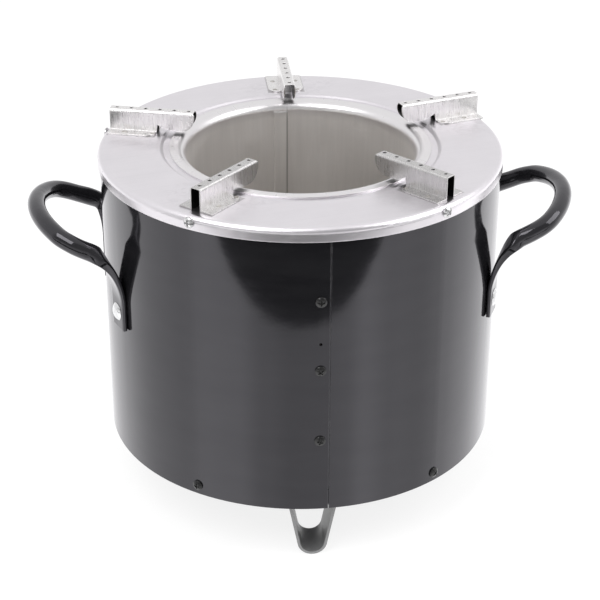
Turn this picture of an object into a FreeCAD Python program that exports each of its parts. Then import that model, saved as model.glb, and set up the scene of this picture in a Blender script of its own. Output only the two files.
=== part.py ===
import FreeCAD, Part
import Sketcher
import math
import os

# A round wood-burning rocket stove: enamelled shell around an insulated
# combustion chamber, a fuel tunnel with a sliding shelf, five pot supports,
# two tube handles and three strap legs.
# Frame: +Z up, origin on the floor under the stove's axis.  Front is -Y, where
# the shell's lap seam runs; the fuel mouth faces +Y; the handles sit near -X
# and +X.  Azimuths and headings are degrees from +X, anticlockwise from above.

Vec = FreeCAD.Vector
UP = Vec(0, 0, 1)
ALONG_X = Vec(1, 0, 0)
ORIGIN = Vec(0, 0, 0)
os.makedirs("parts", exist_ok=True)

doc = FreeCAD.newDocument("RocketStove")

# ---------------------------------------------------------------- dimensions
DIMS = [
    # top ring
    ("ring_top_height", 270.5, "floor to the flat of the top ring"),
    ("ring_radius", 150.0, "outside radius of the ring's skirt"),
    ("ring_sheet", 1.0, "stainless sheet"),
    ("ring_skirt", 10.0, "skirt depth"),
    ("ring_bend", 4.5, "outer bend of the ring"),
    ("ring_step_outer", 103.8, "where the flat starts to drop"),
    ("ring_step_inner", 101.4, "foot of the drop"),
    ("ring_step_drop", 1.6, "depth of the seat for the chamber's collar"),
    ("ring_step_under", 0.3, "the drop's underside starts this much further in"),
    ("ring_step_over", 0.4, "the drop's upper face ends this much further out"),
    ("ring_step_bend", 1.8, "rounding where the flat starts to drop"),
    ("ring_bore", 92.0, "inner radius of the seat"),
    # outer shell
    ("shell_radius", 148.6, "outside radius of the rolled body"),
    ("shell_sheet", 0.9, "enamelled steel sheet"),
    ("shell_bottom", 46.1, "lower edge above the floor"),
    ("shell_top", 267.1, "upper edge, inside the ring's skirt"),
    ("lap_azimuth", -88.0, "edge of the outer lap"),
    ("lap_span", 6.0, "overlap, degrees"),
    ("lap_slit", 0.30, "open joint line, degrees"),
    ("lap_play", 0.08, "between the two sheets of the lap"),
    ("lap_runout", 1.2, "inner sheet past the edge of the lap, degrees"),
    ("lap_lift", 1.0, "inner sheet above the pan's flange"),
    ("joggle_span", 0.9, "joggle between the two sheets, degrees"),
    ("vent_radius", 1.1, "pin hole on the seam"),
    ("vent_height", 182.1, "its height"),
    # combustion chamber
    ("chamber_radius", 85.5, "inside radius"),
    ("chamber_sheet", 1.2, "stainless sheet"),
    ("collar_radius", 97.0, "outer edge of the chamber's collar"),
    ("collar_bend", 6.0, "bend from collar to wall"),
    ("chamber_bottom", 65.0, "lower end of the wall"),
    ("chamber_lap_azimuth", 91.2, "edge of the chamber's own lap"),
    ("chamber_lap_span", 7.0, "overlap, degrees"),
    ("chamber_lap_bite", 0.3, "overlap's reach into the wall"),
    ("chamber_lap_drop", 0.8, "overlap's top below the collar bend"),
    # floor, insulation, base
    ("floor_radius", 86.9, "chamber floor disc"),
    ("floor_sheet", 1.5, "its thickness"),
    ("board_radius", 141.0, "base insulation board"),
    ("board_thick", 15.0, "its thickness"),
    ("board_pocket_play", 0.6, "pocket around a leg rivet's head radius"),
    ("board_pocket_depth", 2.0, "pocket depth"),
    ("sleeve_inner", 87.4, "insulation sleeve, inside radius"),
    ("sleeve_outer", 141.5, "insulation sleeve, outside radius"),
    ("sleeve_top", 262.0, "its top"),
    ("pan_radius", 147.5, "base pan"),
    ("pan_sheet", 1.0, "its sheet"),
    ("pan_bottom", 47.5, "underside above the floor"),
    ("pan_flange", 14.0, "height of the upturned flange"),
    ("pan_bend", 2.0, "its bend"),
    # fuel side
    ("fuel_width", 120.0, "clear width of the fuel tunnel"),
    ("fuel_low", 78.0, "inside bottom of the tunnel"),
    ("fuel_high", 160.0, "inside top of the tunnel"),
    ("fuel_corner", 14.0, "inside corner radius"),
    ("fuel_sheet", 1.2, "tunnel sheet"),
    ("fuel_play", 0.4, "tunnel to shell and collar"),
    ("tunnel_front", 156.0, "outer end of the tunnel"),
    ("tunnel_chamber_play", 0.1, "tunnel to the chamber's wall"),
    ("mouth_front", 158.0, "outer end of the mouth's collar"),
    ("mouth_flange", 15.0, "flange around the mouth"),
    ("mouth_sheet", 1.2, "its sheet"),
    ("mouth_play", 0.05, "flange to shell"),
    ("mouth_corner", 24.0, "outer corner radius of the flange"),
    ("mouth_screw_inset", 12.0, "screws inside the tunnel's top and bottom heights"),
    ("mouth_screw_share", 0.58, "screws outwards, as a share of the flange"),
    ("rail_width", 10.0, "shelf rail, flat leg"),
    ("rail_depth", 8.0, "shelf rail, upright leg"),
    ("rail_top", 100.0, "height of the rail's flat"),
    ("rail_back", 72.0, "inner end of the rails"),
    ("rail_front", 152.0, "outer end of the rails"),
    ("shelf_width", 115.0, "fuel shelf"),
    ("shelf_sheet", 1.5, "its sheet"),
    ("shelf_back", 18.0, "inner end"),
    ("shelf_front", 170.0, "outer face of the turned-down lip"),
    ("shelf_lip", 16.0, "lip depth"),
    ("shelf_play", 0.05, "shelf to rails"),
    ("shelf_bend", 3.0, "outside radius of the lip's bend"),
    ("shelf_corner", 10.0, "corners of the inner end"),
    ("shelf_lip_corner", 6.0, "lower corners of the lip"),
    ("slot_width", 6.0, "air slots in the shelf"),
    ("slot_length", 46.0, "their length"),
    ("slot_pitch", 15.0, "their pitch"),
    ("slot_start", 14.0, "from the shelf's inner end"),
    ("finger_half_length", 14.0, "slot in the lip, half its straight length"),
    ("finger_half_height", 3.2, "its half height"),
    ("finger_end_radius", 3.203, "its rounded ends"),
    ("finger_share", 0.52, "its depth below the plate, as a share of the lip"),
    # pot supports
    ("support_height", 17.0, "pot plane above the ring"),
    ("support_width", 9.0, "over the two webs"),
    ("support_sheet", 1.0, "stainless sheet"),
    ("support_nose", 80.0, "inner end"),
    ("support_tail", 145.0, "open outer end"),
    ("support_foot_start", 109.0, "inner end of the welded feet"),
    ("support_foot", 9.5, "width of each foot"),
    ("support_foot_corner", 8.0, "inner corner of each foot"),
    ("support_edge", 2.4, "rounding of the channel's top"),
    ("support_arch_radius", 25.0, "arch in front of the feet"),
    ("support_arch_height", 6.4, "arch's outer end above the ring"),
    ("support_chin_radius", 11.6, "curve of the web up to the nose"),
    ("support_nose_radius", 3.2, "rounding of the nose's top"),
    ("support_hole", 1.4, "hole radius"),
    ("support_hole_first", 85.0, "first hole"),
    ("support_hole_pitch", 11.0, "hole pitch"),
    # handles
    ("tube_radius", 6.5, "13 mm tube"),
    ("handle_azimuth_left", 184.6, "middle of the left handle"),
    ("handle_azimuth_right", -6.4, "middle of the right handle"),
    ("handle_foot_angle", 18.1, "rivets to either side of the middle"),
    ("handle_reach", 196.4, "tube centre at the far end of the loop"),
    ("handle_rise", 25.1, "slope of the loop, degrees"),
    ("handle_end_height", 235.6, "tube centre at the far end"),
    ("handle_spread", 0.165, "sideways spread of an arm per unit of its run inwards"),
    ("foot_width", 20.2, "crushed end of the tube"),
    ("foot_thick", 3.4, "its thickness"),
    ("foot_play", 0.18, "foot to shell"),
    ("foot_low", 155.5, "lower end of the foot"),
    ("foot_high_front", 176.0, "upper end of the flat, front foot"),
    ("foot_high_rear", 181.0, "upper end of the flat, rear foot"),
    ("rivet_height", 168.0, "handle rivets"),
    ("rivet_shank", 2.5, "shank radius"),
    ("rivet_play", 0.08, "all rivet holes, on the radius"),
    ("rivet_head", 6.8, "dome radius"),
    ("rivet_head_play", 0.27, "dome's seat off the shell, beyond the foot's thickness"),
    ("rivet_dome", 3.0, "dome height"),
    ("rivet_tail_rim", 2.0, "inner head beyond the shank radius"),
    ("rivet_tail_thick", 2.0, "inner head thickness"),
    ("washer_radius", 7.5, "backing washer"),
    ("washer_thick", 1.0, "its thickness"),
    ("washer_sink", 0.1, "flat side of the washer inside the shell's inner radius"),
    ("washer_play", 0.02, "curved side of the washer to the shell"),
    # screws
    ("screw_head", 4.0, "head radius"),
    ("screw_dome", 2.6, "head height"),
    ("screw_rim_share", 0.35, "upright rim as a share of the head height"),
    ("screw_crown_share", 1.42, "crown radius as a share of the head radius"),
    ("screw_shank", 1.9, "shank radius"),
    ("screw_length", 6.6, "under the head"),
    ("screw_tip", 1.6, "length of the tapered tip"),
    ("screw_tip_share", 0.35, "tip radius as a share of the shank's"),
    ("screw_hole", 2.0, "hole radius"),
    ("screw_cross", 1.0, "width of the cross recess"),
    ("screw_cross_share", 0.56, "half length of the cross as a share of the head radius"),
    ("screw_cross_depth", 1.3, "depth of its cutter"),
    ("screw_cross_start", 0.1, "start of its cutter above the head"),
    ("screw_azimuth", -126.0, "first of five, 72 degrees apart"),
    ("ring_screw_height", 266.0, "screws in the ring's skirt"),
    ("base_screw_height", 53.5, "screws near the lower edge"),
    ("seam_azimuth", -90.4, "column of seam screws"),
    ("seam_height_top", 215.0, "upper seam screw"),
    ("seam_height_middle", 161.1, "middle seam screw"),
    ("seam_height_bottom", 104.0, "lower seam screw"),
    # legs
    ("leg_azimuth", -92.0, "first of three, 120 degrees apart"),
    ("leg_sheet", 2.0, "strap thickness"),
    ("leg_inner", 110.0, "inner edge of the strap"),
    ("leg_outer", 140.0, "outer edge of the strap"),
    ("leg_bend", 11.0, "outside radius of the bottom bend"),
    ("leg_flare", 11.2, "flare of each arm, degrees"),
    ("leg_tab", 15.0, "tab under the pan"),
    ("leg_tab_bend", 3.0, "lower side of the bend to the tab"),
    ("leg_tab_bend_inside", 1.2, "upper side of the bend to the tab"),
    ("leg_rivet_offset", 28.0, "rivets to either side of the leg"),
    ("leg_rivet_radius", 2.4, "shank radius"),
    ("leg_rivet_head", 4.2, "head radius"),
    ("leg_rivet_dome", 2.0, "head height"),
    ("leg_rivet_tail", 1.4, "thickness of the head above the pan"),
    ("leg_rivet_tail_cut", 0.6, "that head's radius below the lower head's"),
]

# Each support as welded: distance and azimuth of its middle, and its heading.
SUPPORTS = [
    ("rear", 112.5, 90.0, 89.8),
    ("right", 117.0, 20.4, 17.5),
    ("front_right", 110.5, -49.9, -49.0),
    ("front_left", 108.1, -124.8, -131.4),
    ("left", 113.9, 160.9, 164.5),
]
for place, *measures in SUPPORTS:
    for kind, value in zip(("distance", "azimuth", "heading"), measures):
        DIMS.append((place + "_" + kind, value, place.replace("_", " ") + " support"))

OVERCUT = 1.0      # how far a cutter runs past the material
TALL = 300.0       # height of the cylinders that only need to clear the fuel side
SLOT_COUNT = 7
HOLE_COUNT = 6

sheet = doc.addObject("Spreadsheet::Sheet", "Dims")
for row, (alias, value, note) in enumerate(DIMS, 1):
    sheet.set("A%d" % row, alias)
    sheet.set("B%d" % row, "%g" % value)
    sheet.setAlias("B%d" % row, alias)
    sheet.set("C%d" % row, note)
doc.recompute()


class Quantity:
    """A number together with the spreadsheet expression that yields it."""

    def __init__(self, number, text):
        self.number = float(number)
        self.text = text

    def _with(self, other, sign, number):
        return Quantity(number, "(%s %s %s)" % (self.text, sign, text_of(other)))

    def __add__(self, other):
        return self._with(other, "+", self.number + value_of(other))

    def __sub__(self, other):
        return self._with(other, "-", self.number - value_of(other))

    def __mul__(self, other):
        return self._with(other, "*", self.number * value_of(other))

    def __truediv__(self, other):
        return self._with(other, "/", self.number / value_of(other))

    def __neg__(self):
        return Quantity(-self.number, "(0 - %s)" % self.text)


def value_of(thing):
    return thing.number if isinstance(thing, Quantity) else float(thing)


def text_of(thing):
    return thing.text if isinstance(thing, Quantity) else "%g" % thing


def trig(kind, angle):
    """cos, sin or tan of a bound angle in degrees."""
    value = getattr(math, kind)(math.radians(angle.number))
    return Quantity(value, "%s(%s * 1deg)" % (kind, angle.text))


def num(alias):
    return float(sheet.get(alias))


def dim(alias):
    return Quantity(num(alias), "Dims." + alias)


# ---------------------------------------------------------------- Part helpers
kept = []


def keep(obj, label):
    """Mark an object as a finished piece."""
    obj.Label = label
    kept.append(obj)


def bind(obj, **props):
    """Bind properties to expressions; a double underscore stands for a dot."""
    for prop, quantity in props.items():
        obj.setExpression(prop.replace("__", "."), text_of(quantity))


def cylinder(name, radius, height, base=0, angle=360):
    obj = doc.addObject("Part::Cylinder", name)
    bind(obj, Radius=radius, Height=height, Angle=angle, Placement__Base__z=base)
    return obj


def cut(name, base, tool):
    obj = doc.addObject("Part::Cut", name)
    obj.Base, obj.Tool = base, tool
    return obj


def fuse(name, shapes):
    obj = doc.addObject("Part::MultiFuse", name)
    obj.Shapes = shapes
    return obj


def turned(obj, azimuth):
    """Turn an object about the stove's axis by a bound angle in degrees."""
    turn = FreeCAD.Rotation(UP, value_of(azimuth))
    obj.Placement = FreeCAD.Placement(obj.Placement.Base, turn)
    bind(obj, Placement__Rotation__Angle=azimuth)


def tube(name, outer, inner, low, tall, start=None, angle=360):
    """A rolled wall about the axis, or an arc of one from a start azimuth."""
    outside = cylinder(name + "Outer", outer, tall, low, angle)
    inside = cylinder(name + "Inner", inner, tall + 2 * OVERCUT, low - OVERCUT)
    if start is not None:
        turned(outside, start)
    return cut(name, outside, inside)


def plain(name, shape):
    obj = doc.addObject("Part::Feature", name)
    obj.Shape = shape
    return obj


def cut_all(name, base, tools_name, tools):
    """Cut several plain solids out of an object at once."""
    return cut(name, base, plain(tools_name, Part.makeCompound(tools)))


def near(one, two, tolerance=0.02):
    return abs(one - two) < tolerance


def rotated(shape, azimuth):
    copy = shape.copy()
    copy.rotate(ORIGIN, UP, azimuth)
    return copy


def radial_drill(radius, azimuth, height):
    """A cutter pointing away from the axis, through shell, ring, pan and feet."""
    inner, outer = 140, 160
    pin = Part.makeCylinder(radius, outer - inner, Vec(inner, 0, height), ALONG_X)
    return rotated(pin, azimuth)


def screw_drills(azimuths, height):
    return [radial_drill(num("screw_hole"), azimuth, height) for azimuth in azimuths]


def rounded_prism(width, low, high, corner, y0, y1):
    """A bar along Y with rounded corners, centred on x = 0."""
    bar = Part.makeBox(width, y1 - y0, high - low, Vec(-width / 2.0, y0, low))
    edges = []
    for edge in bar.Edges:
        run = edge.Vertexes[1].Point - edge.Vertexes[0].Point
        if near(abs(run.y), y1 - y0, 1e-4):
            edges.append(edge)
    return bar.makeFillet(corner, edges)


def fuel_prism(outset, y0, y1, corner=None):
    """The tunnel's clear section grown all round, as a bar along Y."""
    if corner is None:
        corner = num("fuel_corner") + outset
    return rounded_prism(num("fuel_width") + 2 * outset, num("fuel_low") - outset,
                         num("fuel_high") + outset, corner, y0, y1)


def dome(radius, height, start, axis, tip_first=False):
    """A spherical cap standing along an axis; tip_first puts its tip at the start."""
    ball = (radius ** 2 + height ** 2) / (2 * height)
    centre = start + axis * (ball if tip_first else height - ball)
    sphere = Part.makeSphere(ball, centre, UP, -90, 90, 360)
    return sphere.common(Part.makeCylinder(radius, height, start, axis))


# ---------------------------------------------------------------- PartDesign helpers
def new_body(name):
    return doc.addObject("PartDesign::Body", name)


def origin_plane(body, role):
    for feature in body.Origin.OriginFeatures:
        if feature.Role == role:
            return feature
    raise RuntimeError(role)


def new_sketch(body, name, role, offset=None):
    """A sketch on an origin plane.  The XZ plane's normal is -Y."""
    sketch = body.newObject("Sketcher::SketchObject", name)
    sketch.AttachmentSupport = (origin_plane(body, role), [""])
    sketch.MapMode = "FlatFace"
    if offset is not None:
        bind(sketch, AttachmentOffset__Base__z=offset)
    return sketch


def constrain(sketch, value, kind, *where):
    """Add a dimension bound to a value's expression."""
    index = sketch.addConstraint(Sketcher.Constraint(kind, *where, value_of(value)))
    sketch.setExpression("Constraints[%d]" % index, text_of(value))


def outline(sketch, points):
    """Closed outline through bound points.  A point is (x, y) for a line to
    the next one, or (x, y, radius, side) for an arc to the next one; side is
    +1 when the arc bulges to the left of the direction of travel."""
    corners = [Vec(value_of(point[0]), value_of(point[1]), 0) for point in points]
    count = len(points)
    for i, point in enumerate(points):
        start, end = corners[i], corners[(i + 1) % count]
        if len(point) == 2:
            curve = Part.LineSegment(start, end)
        else:
            radius, side = value_of(point[2]), point[3]
            chord = (end - start).Length
            sag = radius - math.sqrt(max(radius * radius - chord * chord / 4.0, 0.0))
            left = Vec(-(end - start).y, (end - start).x, 0) * (1.0 / chord)
            middle = (start + end) * 0.5 + left * (side * sag)
            # sketch arcs run anticlockwise
            first, last = (end, start) if side > 0 else (start, end)
            curve = Part.ArcOfCircle(first, middle, last)
        sketch.addGeometry(curve, False)
    # which end of each curve (1 start, 2 end) comes first and last in travel
    ends = []
    for i, start in enumerate(corners):
        curve = sketch.Geometry[i]
        flipped = (curve.StartPoint - start).Length > (curve.EndPoint - start).Length
        ends.append((2, 1) if flipped else (1, 2))
    for i in range(count):
        j = (i + 1) % count
        sketch.addConstraint(Sketcher.Constraint("Coincident", i, ends[i][1], j, ends[j][0]))
    for i, point in enumerate(points):
        constrain(sketch, point[0], "DistanceX", -1, 1, i, ends[i][0])
        constrain(sketch, point[1], "DistanceY", -1, 1, i, ends[i][0])
        if len(point) > 2:
            constrain(sketch, point[2], "Radius", i)


def revolve(body, name, sketch):
    feature = body.newObject("PartDesign::Revolution", name)
    feature.Profile = sketch
    feature.ReferenceAxis = (sketch, ["V_Axis"])
    feature.Angle = 360
    body.Tip = feature


def extrude(kind, body, name, sketch, length, midplane, reverse):
    feature = body.newObject("PartDesign::" + kind, name)
    feature.Profile = sketch
    bind(feature, Length=length)
    if midplane:
        feature.SideType = "Symmetric"
    feature.Reversed = reverse
    body.Tip = feature
    return feature


def pad(body, name, sketch, length, midplane=False, reverse=False):
    return extrude("Pad", body, name, sketch, length, midplane, reverse)


def pocket(body, name, sketch, length, midplane=False):
    return extrude("Pocket", body, name, sketch, length, midplane, False)


def pocket_inward(body, name, sketch, length):
    """A pocket turned round if its first direction removes nothing."""
    doc.recompute()
    before = body.Shape.Volume
    feature = pocket(body, name, sketch, length)
    doc.recompute()
    if body.Shape.Volume > before - 1:
        feature.Reversed = not feature.Reversed
        doc.recompute()


def repeat(body, name, feature, sketch, count, pitch):
    """A row of one feature along its sketch's horizontal axis."""
    pattern = body.newObject("PartDesign::LinearPattern", name)
    pattern.Originals = [feature]
    pattern.Direction = (sketch, ["H_Axis"])
    pattern.Occurrences = count
    bind(pattern, Length=pitch * (count - 1))
    body.Tip = pattern


def fillet(body, name, selects, radius):
    """Round the edges of the body's tip that the selector accepts."""
    doc.recompute()
    base = body.Tip
    names = ["Edge%d" % i for i, edge in enumerate(base.Shape.Edges, 1) if selects(edge)]
    if not names:
        raise RuntimeError("no edges for " + name)
    feature = body.newObject("PartDesign::Fillet", name)
    feature.Base = (base, names)
    bind(feature, Radius=radius)
    body.Tip = feature
    doc.recompute()


def ring_edge(radius, height):
    """Selects a full circle about the body's own Z axis."""
    def test(edge):
        curve = edge.Curve
        return (curve.TypeId == "Part::GeomCircle" and near(curve.Radius, value_of(radius))
                and near(curve.Center.z, value_of(height)))
    return test


def straight_edge(axis, **place):
    """Selects edges along an axis whose other two coordinates are given, on
    either side of zero."""
    def test(edge):
        first, last = edge.Vertexes[0].Point, edge.Vertexes[-1].Point
        if abs(getattr(first, axis) - getattr(last, axis)) <= 0.5:
            return False
        return all(near(getattr(first, key), getattr(last, key))
                   and near(abs(getattr(first, key)), value_of(value))
                   for key, value in place.items())
    return test


# ---------------------------------------------------------------- shared places
top = dim("ring_top_height")
wall_outer = dim("chamber_radius") + dim("chamber_sheet")
collar_top = top - dim("ring_step_drop") + dim("chamber_sheet")
board_low = dim("pan_bottom") + dim("pan_sheet")
fuel_half = dim("fuel_width") / 2
fuel_outset = num("fuel_sheet") + num("fuel_play")
# the opening for the tunnel in shell, sleeve and mouth frame
fuel_hole = fuel_prism(fuel_outset, 60, 200)

five_azimuths = [num("screw_azimuth") + 72.0 * k for k in range(5)]
seam_heights = [num("seam_height_" + level) for level in ("top", "middle", "bottom")]

# mouth screws sit on the flange's outer face: (azimuth, height)
mouth_face = num("shell_radius") + num("mouth_sheet") + num("mouth_play")
mouth_screw_x = (num("fuel_width") / 2 + fuel_outset
                 + num("mouth_flange") * num("mouth_screw_share"))
mouth_spots = [(math.degrees(math.acos(side * mouth_screw_x / mouth_face)), height)
               for side in (-1, 1)
               for height in (num("fuel_low") + num("mouth_screw_inset"),
                              num("fuel_high") - num("mouth_screw_inset"))]
mouth_drills = [radial_drill(num("screw_hole"), *spot) for spot in mouth_spots]

handle_azimuths = (num("handle_azimuth_left"), num("handle_azimuth_right"))
rivet_azimuths = [middle + side * num("handle_foot_angle")
                  for middle in handle_azimuths for side in (-1, 1)]
rivet_hole = num("rivet_shank") + num("rivet_play")

# leg rivets, first about a leg's own X axis, then in place under the pan
leg_middle = (num("leg_inner") + num("leg_outer")) / 2.0
leg_rivet_pair = [Vec(leg_middle, side * num("leg_rivet_offset"), 0) for side in (-1, 1)]
leg_rivet_spots = [FreeCAD.Rotation(UP, num("leg_azimuth") + shift).multVec(spot)
                   for shift in (0, 120, 240) for spot in leg_rivet_pair]


def leg_rivet_drill(spot):
    radius = num("leg_rivet_radius") + num("rivet_play")
    return Part.makeCylinder(radius, 20, Vec(spot.x, spot.y, 40))


# ---------------------------------------------------------------- screws
def screw_master():
    """One pan-head screw along +X, its head's seat at x = 0."""
    body = new_body("ScrewMaster")
    head, shank, length = dim("screw_head"), dim("screw_shank"), dim("screw_length")
    sketch = new_sketch(body, "ScrewProfile", "XZ_Plane")
    outline(sketch, [
        (0, -length),
        (shank * dim("screw_tip_share"), -length),
        (shank, -length + dim("screw_tip")),
        (shank, 0),
        (head, 0),
        (head, dim("screw_dome") * dim("screw_rim_share"), head * dim("screw_crown_share"), -1),
        (0, dim("screw_dome")),
    ])
    revolve(body, "ScrewTurn", sketch)
    narrow = dim("screw_cross") * 0.5
    far = head * dim("screw_cross_share")
    for tag, half_x, half_y in (("A", far, narrow), ("B", narrow, far)):
        sketch = new_sketch(body, "ScrewCross" + tag, "XY_Plane",
                            dim("screw_dome") + dim("screw_cross_start"))
        outline(sketch, [(-half_x, -half_y), (half_x, -half_y),
                         (half_x, half_y), (-half_x, half_y)])
        pocket(body, "ScrewSlot" + tag, sketch, dim("screw_cross_depth"))
    doc.recompute()
    # the profile stands along Z; lay it along +X
    shape = body.Shape.copy()
    shape.rotate(ORIGIN, Vec(0, 1, 0), 90)
    return shape


screw_shape = screw_master()


def keep_screws(name, label, seat, spots):
    """Screws on one seat radius; each spot is (azimuth, height)."""
    turn_step = 37.0  # each screw's cross is turned this much from the one before
    copies = []
    for k, (azimuth, height) in enumerate(spots):
        copy = screw_shape.copy()
        copy.rotate(ORIGIN, ALONG_X, turn_step * k)
        copy.translate(Vec(seat, 0, height))
        copies.append(rotated(copy, azimuth))
    keep(plain(name, Part.makeCompound(copies)), label)


keep_screws("RingScrews", "ring_screws", num("ring_radius"),
            [(azimuth, num("ring_screw_height")) for azimuth in five_azimuths])
keep_screws("BaseScrews", "base_screws", num("shell_radius"),
            [(azimuth, num("base_screw_height")) for azimuth in five_azimuths])
keep_screws("SeamScrews", "seam_screws", num("shell_radius"),
            [(num("seam_azimuth"), height) for height in seam_heights])
keep_screws("MouthScrews", "mouth_screws", mouth_face, mouth_spots)


# ---------------------------------------------------------------- top ring
def top_ring():
    body = new_body("TopRing")
    gauge, radius, bend = dim("ring_sheet"), dim("ring_radius"), dim("ring_bend")
    seat = top - dim("ring_step_drop")
    sketch = new_sketch(body, "RingProfile", "XZ_Plane")
    outline(sketch, [
        (dim("ring_bore"), seat - gauge),
        (dim("ring_step_inner"), seat - gauge),
        (dim("ring_step_outer") - dim("ring_step_under"), top - gauge),
        (radius - gauge, top - gauge),
        (radius - gauge, top - dim("ring_skirt")),
        (radius, top - dim("ring_skirt")),
        (radius, top),
        (dim("ring_step_outer"), top),
        (dim("ring_step_inner") + dim("ring_step_over"), seat),
        (dim("ring_bore"), seat),
    ])
    revolve(body, "RingTurn", sketch)
    fillet(body, "RingOuterBend", ring_edge(radius, top), bend)
    fillet(body, "RingInnerBend", ring_edge(radius - gauge, top - gauge), bend - gauge)
    fillet(body, "RingStepBend", ring_edge(dim("ring_step_outer"), top), dim("ring_step_bend"))
    drills = screw_drills(five_azimuths, num("ring_screw_height"))
    keep(cut_all("RingDrilled", body, "RingHoles", drills), "top_ring")


top_ring()


# ---------------------------------------------------------------- outer shell
def outer_shell():
    """Rolled sheet: one end laps inside the other along the seam."""
    radius, gauge = dim("shell_radius"), dim("shell_sheet")
    edge = dim("lap_azimuth")
    roll = tube("Roll", radius, radius - gauge, dim("shell_bottom"),
                dim("shell_top") - dim("shell_bottom"),
                edge + dim("lap_slit"), -dim("lap_slit") + 360)
    # joggled end behind the slit, clear of the base pan's flange
    lap_low = dim("pan_bottom") + dim("pan_flange") + dim("lap_lift")
    lap_tall = dim("shell_top") - lap_low
    lap_inner = radius - gauge * 2 - dim("lap_play")
    lap = tube("Lap", radius - gauge - dim("lap_play"), lap_inner, lap_low, lap_tall,
               edge - dim("lap_span"), dim("lap_span") + dim("lap_runout"))
    joggle = tube("Joggle", radius - gauge * 0.5, lap_inner, lap_low, lap_tall,
                  edge + dim("lap_slit"), dim("joggle_span"))
    blank = fuse("ShellBlank", [roll, lap, joggle])

    tools = [fuel_hole]
    tools += screw_drills(five_azimuths, num("ring_screw_height"))
    tools += screw_drills(five_azimuths, num("base_screw_height"))
    for height in seam_heights:
        tools += screw_drills([num("seam_azimuth")], height)
    for azimuth in rivet_azimuths:
        tools.append(radial_drill(rivet_hole, azimuth, num("rivet_height")))
    tools.append(radial_drill(num("vent_radius"), num("seam_azimuth"), num("vent_height")))
    drilled = cut_all("ShellDrilled", blank, "ShellHoles", tools)
    drilled.Label = "outer_shell_blank"
    # the four mouth screws also pass through the shell
    keep(cut_all("ShellFinal", drilled, "ShellMouthHoles", mouth_drills), "outer_shell")


outer_shell()


# ---------------------------------------------------------------- chamber
def combustion_chamber():
    body = new_body("Chamber")
    radius, gauge, low = dim("chamber_radius"), dim("chamber_sheet"), dim("chamber_bottom")
    sketch = new_sketch(body, "ChamberProfile", "XZ_Plane")
    outline(sketch, [
        (radius, low),
        (wall_outer, low),
        (wall_outer, collar_top - gauge),
        (dim("collar_radius"), collar_top - gauge),
        (dim("collar_radius"), collar_top),
        (radius, collar_top),
    ])
    revolve(body, "ChamberTurn", sketch)
    fillet(body, "ChamberInnerBend", ring_edge(wall_outer, collar_top - gauge),
           dim("collar_bend") - gauge)
    fillet(body, "ChamberOuterBend", ring_edge(radius, collar_top), dim("collar_bend"))
    # the wall's own lap, inside, above the fuel opening
    lap_top = collar_top - dim("collar_bend") - dim("chamber_lap_drop")
    lap = tube("ChamberLap", radius + dim("chamber_lap_bite"), radius - gauge, low,
               lap_top - low, dim("chamber_lap_azimuth"), dim("chamber_lap_span"))
    blank = fuse("ChamberBlank", [body, lap])
    opening = plain("ChamberOpening", fuel_prism(0, 20, 110))
    keep(cut("ChamberCut", blank, opening), "combustion_chamber")


combustion_chamber()

keep(cylinder("ChamberFloor", dim("floor_radius"), dim("floor_sheet"),
              dim("chamber_bottom") - dim("floor_sheet")), "chamber_floor")


# ---------------------------------------------------------------- base pan
def base_pan():
    body = new_body("BasePan")
    radius, gauge, low = dim("pan_radius"), dim("pan_sheet"), dim("pan_bottom")
    sketch = new_sketch(body, "PanProfile", "XZ_Plane")
    outline(sketch, [
        (0, low),
        (radius, low),
        (radius, low + dim("pan_flange")),
        (radius - gauge, low + dim("pan_flange")),
        (radius - gauge, low + gauge),
        (0, low + gauge),
    ])
    revolve(body, "PanTurn", sketch)
    fillet(body, "PanOuterBend", ring_edge(radius, low), dim("pan_bend"))
    fillet(body, "PanInnerBend", ring_edge(radius - gauge, low + gauge), dim("pan_bend") - gauge)
    drills = screw_drills(five_azimuths, num("base_screw_height"))
    drills += [leg_rivet_drill(spot) for spot in leg_rivet_spots]
    keep(cut_all("PanDrilled", body, "PanHoles", drills), "base_pan")


base_pan()


# ---------------------------------------------------------------- insulation
def base_insulation():
    """Board on the pan, with pockets over the leg rivets."""
    board = cylinder("BoardBlank", dim("board_radius"), dim("board_thick"), board_low)
    pocket_radius = num("leg_rivet_head") + num("board_pocket_play")
    pockets = [Part.makeCylinder(pocket_radius, num("board_pocket_depth") + OVERCUT,
                                 Vec(spot.x, spot.y, board_low.number - OVERCUT))
               for spot in leg_rivet_spots]
    keep(cut_all("BoardCut", board, "BoardPockets", pockets), "base_insulation")


def insulation_sleeve():
    low = board_low + dim("board_thick")
    sleeve = tube("Sleeve", dim("sleeve_outer"), dim("sleeve_inner"), low,
                  dim("sleeve_top") - low)
    keep(cut("SleeveCut", sleeve, plain("SleeveGap", fuel_hole)), "insulation_sleeve")


base_insulation()
insulation_sleeve()


# ---------------------------------------------------------------- fuel tunnel
def rounded_outline(sketch, half_width, low, high, corner):
    """A rectangle with four bound corner arcs, walked anticlockwise."""
    outline(sketch, [
        (-half_width + corner, low),
        (half_width - corner, low, corner, -1),
        (half_width, low + corner),
        (half_width, high - corner, corner, -1),
        (half_width - corner, high),
        (-half_width + corner, high, corner, -1),
        (-half_width, high - corner),
        (-half_width, low + corner, corner, -1),
    ])


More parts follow.
